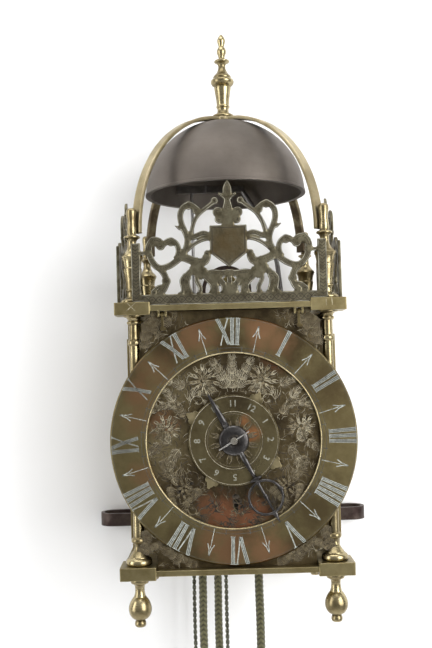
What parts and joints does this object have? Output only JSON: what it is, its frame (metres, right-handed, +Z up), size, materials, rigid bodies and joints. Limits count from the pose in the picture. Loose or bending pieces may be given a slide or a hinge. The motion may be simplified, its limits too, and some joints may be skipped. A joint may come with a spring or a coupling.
{
  "type": "lantern clock",
  "caption": "Posted brass clock with a top bell, one hour hand, alarm disc, rope-driven movement, pierced frets and a wall hoop.",
  "frame": {"origin": "inside top of the hanging hoop, where the wall hook bears, in the middle of the hoop's depth", "axes": "+Z up, +Y towards the wall, +X to the right of someone who reads the dial"},
  "size_m": [0.213, 0.171, 0.4905],
  "materials": {
    "cast_brass": "cast and filed brass, dulled, paler on worn edges",
    "turned_brass": "turned and polished brass",
    "bell_metal": "grey-brown satin bell metal",
    "strap_brass": "hammered and filed brass, satin",
    "fret_brass": "cast and engraved brass, dull olive with dirt in the cuts",
    "dial_brass": "engraved and matted brass, dark in the ground",
    "ring_brass": "brass with copper-coloured patches, numerals filled grey",
    "alarm_brass": "engraved brass",
    "door_brass": "hammered sheet brass, dulled",
    "wheel_brass": "cut brass",
    "bob_brass": "turned brass over lead",
    "hand_steel": "filed steel, dark brown patina",
    "steel": "forged steel, dark",
    "iron": "forged iron, dark red-brown, bright where worn",
    "rope": "braided cord, olive green",
    "chain": "linked chain, dull"
  },
  "bodies": {
    "frame": {"top_plate": "cast_brass", "bottom_plate": "cast_brass", "front_left_pillar": "turned_brass", "front_right_pillar": "turned_brass", "rear_left_pillar": "turned_brass", "rear_right_pillar": "turned_brass", "front_left_finial": "turned_brass", "front_right_finial": "turned_brass", "rear_left_finial": "turned_brass", "rear_right_finial": "turned_brass", "front_left_foot": "turned_brass", "front_right_foot": "turned_brass", "rear_left_foot": "turned_brass", "rear_right_foot": "turned_brass", "crown_finial": "turned_brass", "bell": "bell_metal", "bell_strap": "strap_brass", "bell_nut": "iron", "front_fret": "fret_brass", "left_fret": "fret_brass", "right_fret": "fret_brass", "fret_screws": "iron", "dial_plate": "dial_brass", "chapter_ring": "ring_brass", "back_plate": "iron", "hanging_hoop": "iron", "standoff_strap": "iron", "back_rivets": "iron", "front_bar": "iron", "middle_bar": "iron", "rear_bar": "iron", "bar_wedges": "iron", "verge_potences": "steel", "hammer_spring": "steel", "weight_hooks": "steel", "going_rope": "rope", "strike_rope": "rope", "alarm_chain": "chain", "rope_rings": "iron"},
    "going_great": {"going_great_wheel": "wheel_brass"},
    "contrate": {"contrate_wheel": "wheel_brass"},
    "crown": {"crown_wheel": "wheel_brass"},
    "pendulum": {"verge_pendulum": "steel", "pendulum_bob": "bob_brass"},
    "strike_great": {"strike_great_wheel": "wheel_brass"},
    "hoop": {"hoop_wheel": "wheel_brass"},
    "fly_vane": {"fly": "wheel_brass"},
    "count": {"count_wheel": "wheel_brass"},
    "hammer": {"strike_hammer": "steel"},
    "detent": {"strike_detent": "steel"},
    "hour_work": {"hour_wheel": "wheel_brass", "hour_hand": "hand_steel", "hand_pin": "hand_steel"},
    "alarm_setting": {"alarm_disc": "alarm_brass"},
    "alarm_train": {"alarm_wheel": "wheel_brass"},
    "alarm_striker": {"alarm_hammer": "steel"},
    "door_left": {"left_door": "door_brass"},
    "door_right": {"right_door": "door_brass"},
    "latch_left": {"dial_latch_left": "strap_brass"},
    "latch_right": {"dial_latch_right": "strap_brass"}
  },
  "joints": [
    {"name": "going_turn", "type": "hinge", "parent": "frame", "child": "going_great", "pos_m": [-0.004, -0.0965, -0.167], "axis": [0, 1, 0], "continuous": true},
    {"name": "contrate_turn", "type": "hinge", "parent": "frame", "child": "contrate", "pos_m": [0, -0.1035, -0.1332], "axis": [0, 1, 0], "continuous": true},
    {"name": "crown_turn", "type": "hinge", "parent": "frame", "child": "crown", "pos_m": [0, -0.1095, -0.112], "axis": [0, 0, 1], "continuous": true},
    {"name": "hour_turn", "type": "hinge", "parent": "frame", "child": "hour_work", "pos_m": [0, -0.1265, -0.1257], "axis": [0, 1, 0], "continuous": true},
    {"name": "alarm_set_turn", "type": "hinge", "parent": "hour_work", "child": "alarm_setting", "pos_m": [0, -0.1445, -0.1257], "axis": [0, 1, 0], "continuous": true},
    {"name": "pendulum_swing", "type": "hinge", "parent": "frame", "child": "pendulum", "pos_m": [0, -0.0365, -0.02275], "axis": [0, 1, 0], "range_deg": [-6, 6]},
    {"name": "strike_turn", "type": "hinge", "parent": "frame", "child": "strike_great", "pos_m": [0.002, -0.0715, -0.167], "axis": [0, 1, 0], "continuous": true},
    {"name": "hoop_turn", "type": "hinge", "parent": "frame", "child": "hoop", "pos_m": [0.0056, -0.0535, -0.13319], "axis": [0, 1, 0], "continuous": true},
    {"name": "fly_turn", "type": "hinge", "parent": "frame", "child": "fly_vane", "pos_m": [0.002, -0.0635, -0.10462], "axis": [0, 1, 0], "continuous": true},
    {"name": "count_turn", "type": "hinge", "parent": "frame", "child": "count", "pos_m": [0.024, -0.035, -0.15471], "axis": [0, 1, 0], "continuous": true},
    {"name": "hammer_lift", "type": "hinge", "parent": "frame", "child": "hammer", "pos_m": [0.046, -0.0345, -0.117], "axis": [0, 1, 0], "range_deg": [0, 3.2]},
    {"name": "detent_lift", "type": "hinge", "parent": "frame", "child": "detent", "pos_m": [-0.036, -0.0465, -0.1], "axis": [0, -1, 0], "range_deg": [0, 6]},
    {"name": "alarm_wheel_turn", "type": "hinge", "parent": "frame", "child": "alarm_train", "pos_m": [-0.0195, -0.0215, -0.152], "axis": [0, 1, 0], "continuous": true},
    {"name": "alarm_striker_rock", "type": "hinge", "parent": "frame", "child": "alarm_striker", "pos_m": [-0.0253, -0.0441, -0.062], "axis": [0, 0, 1], "range_deg": [-10, 10]},
    {"name": "left_door_swing", "type": "hinge", "parent": "frame", "child": "door_left", "pos_m": [-0.0675, -0.0275, -0.124], "axis": [0, 0, -1], "range_deg": [0, 100]},
    {"name": "right_door_swing", "type": "hinge", "parent": "frame", "child": "door_right", "pos_m": [0.0675, -0.0275, -0.124], "axis": [0, 0, 1], "range_deg": [0, 100]},
    {"name": "left_latch_swing", "type": "hinge", "parent": "frame", "child": "latch_left", "pos_m": [-0.044, -0.1457, -0.04365], "axis": [-1, 0, 0], "range_deg": [0, 75]},
    {"name": "right_latch_swing", "type": "hinge", "parent": "frame", "child": "latch_right", "pos_m": [0.044, -0.1457, -0.04365], "axis": [-1, 0, 0], "range_deg": [0, 75]}
  ],
  "couplings": [
    {"joint": "contrate_turn", "follows": "going_turn", "ratio": -7.5},
    {"joint": "crown_turn", "follows": "going_turn", "ratio": 45},
    {"joint": "hour_turn", "follows": "going_turn", "ratio": -0.083333},
    {"joint": "hoop_turn", "follows": "strike_turn", "ratio": -7.5},
    {"joint": "fly_turn", "follows": "strike_turn", "ratio": 52.5},
    {"joint": "count_turn", "follows": "strike_turn", "ratio": -0.16667}
  ]
}
